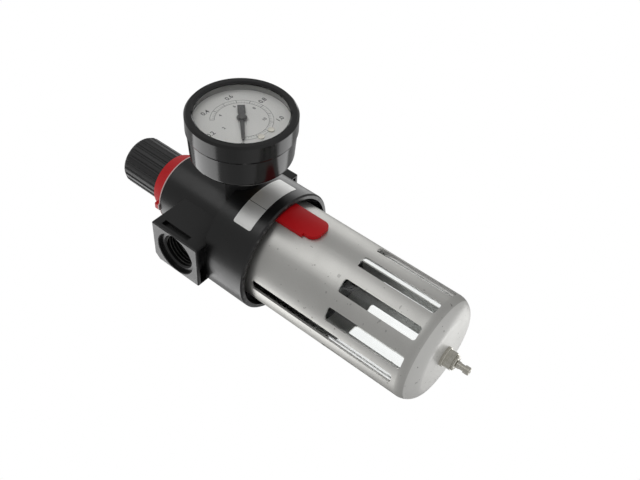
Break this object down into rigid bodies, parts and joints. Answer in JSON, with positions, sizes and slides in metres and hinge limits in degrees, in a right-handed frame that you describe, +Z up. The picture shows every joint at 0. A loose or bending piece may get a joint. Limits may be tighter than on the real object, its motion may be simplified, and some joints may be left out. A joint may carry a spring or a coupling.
{
  "type": "filter regulator",
  "caption": "Compressed-air filter regulator with ribbed push-lock knob, red lock ring, round front gauge, guarded clear bowl with red latch and push drain.",
  "frame": {"origin": "where the common axis of the two ports crosses the main axis through the knob and the bowl", "axes": "+X along the ports from inlet to outlet, +Z up to the knob, -Y to the gauge's face"},
  "size_m": [0.08, 0.1167, 0.2265],
  "materials": {
    "body_black": "satin black coating on die-cast metal",
    "red_plastic": "semi-gloss red moulding",
    "knob_black": "fine satin black moulding",
    "guard_silver": "silver-grey metallic satin paint",
    "bowl_clear": "clear moulded plastic",
    "gauge_black": "polished black moulding",
    "lens_clear": "clear flat lens",
    "spacer_grey": "plain grey ring",
    "dial_white": "printed matt white dial",
    "pointer_black": "matt black",
    "brass": "turned brass",
    "drain_brass": "nickel-coloured turned brass",
    "bronze": "drawn bronze tube",
    "steel": "turned steel",
    "spring_steel": "drawn wire",
    "piston_aluminium": "turned aluminium",
    "white_plastic": "plain white moulding",
    "baffle_black": "plain black moulding",
    "sintered": "sintered porous tube",
    "seal_rubber": "black nitrile rubber"
  },
  "bodies": {
    "housing": {"body": "body_black", "valve_seat": "brass", "bonnet": "body_black", "lock_ring": "red_plastic", "thrust_washer": "steel", "valve_guide": "white_plastic", "guide_seal": "seal_rubber", "deflector": "white_plastic", "filter_element": "sintered", "baffle": "baffle_black", "rear_plug": "steel", "plug_seal": "seal_rubber", "gauge_socket": "brass", "gauge_seal": "seal_rubber", "gauge_case": "gauge_black", "gauge_bezel": "gauge_black", "gauge_lens": "lens_clear", "dial_ring": "spacer_grey", "gauge_dial": "dial_white", "dial_screws": "brass", "bourdon_tube": "bronze", "movement_frame": "brass", "valve_spring": "spring_steel"},
    "screw": {"adjusting_screw": "steel"},
    "knob": {"knob": "knob_black"},
    "nut": {"adjusting_nut": "brass"},
    "piston": {"sensing_piston": "piston_aluminium", "piston_seal": "seal_rubber", "regulating_spring": "spring_steel"},
    "valve": {"valve_poppet": "brass", "valve_facing": "seal_rubber"},
    "bowl_unit": {"bowl": "bowl_clear", "bowl_guard": "guard_silver", "bowl_seal": "seal_rubber", "drain_body": "drain_brass", "drain_gasket": "seal_rubber", "drain_washer": "drain_brass", "drain_nut": "drain_brass", "latch_spring": "spring_steel", "drain_spring": "spring_steel"},
    "latch": {"latch_button": "red_plastic"},
    "drain_stem": {"drain_stem": "drain_brass", "drain_seal": "seal_rubber"},
    "pointer": {"pointer": "pointer_black", "pointer_arbor": "steel"}
  },
  "joints": [
    {"name": "knob_turn", "type": "hinge", "parent": "housing", "child": "screw", "pos_m": [0, 0, 0.04], "axis": [0, 0, 1], "range_deg": [-1440, 0]},
    {"name": "knob_push", "type": "slide", "parent": "screw", "child": "knob", "axis": [0, 0, 1], "range_m": [-0.003, 0]},
    {"name": "nut_slide", "type": "slide", "parent": "housing", "child": "nut", "axis": [0, 0, 1], "range_m": [-0.006, 0], "deforming": ["regulating_spring"]},
    {"name": "piston_slide", "type": "slide", "parent": "housing", "child": "piston", "axis": [0, 0, 1], "range_m": [-0.0015, 0], "stiffness_N_per_m": 1500, "springref_m": 0.002},
    {"name": "valve_slide", "type": "slide", "parent": "housing", "child": "valve", "axis": [0, 0, 1], "range_m": [-0.0015, 0], "deforming": ["valve_spring"]},
    {"name": "bowl_turn", "type": "hinge", "parent": "housing", "child": "bowl_unit", "pos_m": [0, 0, -0.03], "axis": [0, 0, 1], "range_deg": [0, 40]},
    {"name": "latch_slide", "type": "slide", "parent": "bowl_unit", "child": "latch", "axis": [0, 0, 1], "range_m": [-0.0035, 0], "stiffness_N_per_m": 600, "springref_m": 0.003, "deforming": ["latch_spring"]},
    {"name": "drain_push", "type": "slide", "parent": "bowl_unit", "child": "drain_stem", "axis": [0, 0, 1], "range_m": [0, 0.002], "stiffness_N_per_m": 600, "springref_m": -0.003, "deforming": ["drain_spring"]},
    {"name": "pointer_turn", "type": "hinge", "parent": "housing", "child": "pointer", "pos_m": [0, -0.07, -0.0113], "axis": [0, 1, 0], "range_deg": [0, 270], "stiffness_Nm_per_rad": 0.0002}
  ],
  "couplings": [
    {"joint": "nut_slide", "follows": "knob_turn", "m_per_rad": 0.00023873},
    {"joint": "valve_slide", "follows": "piston_slide", "ratio": 1}
  ]
}
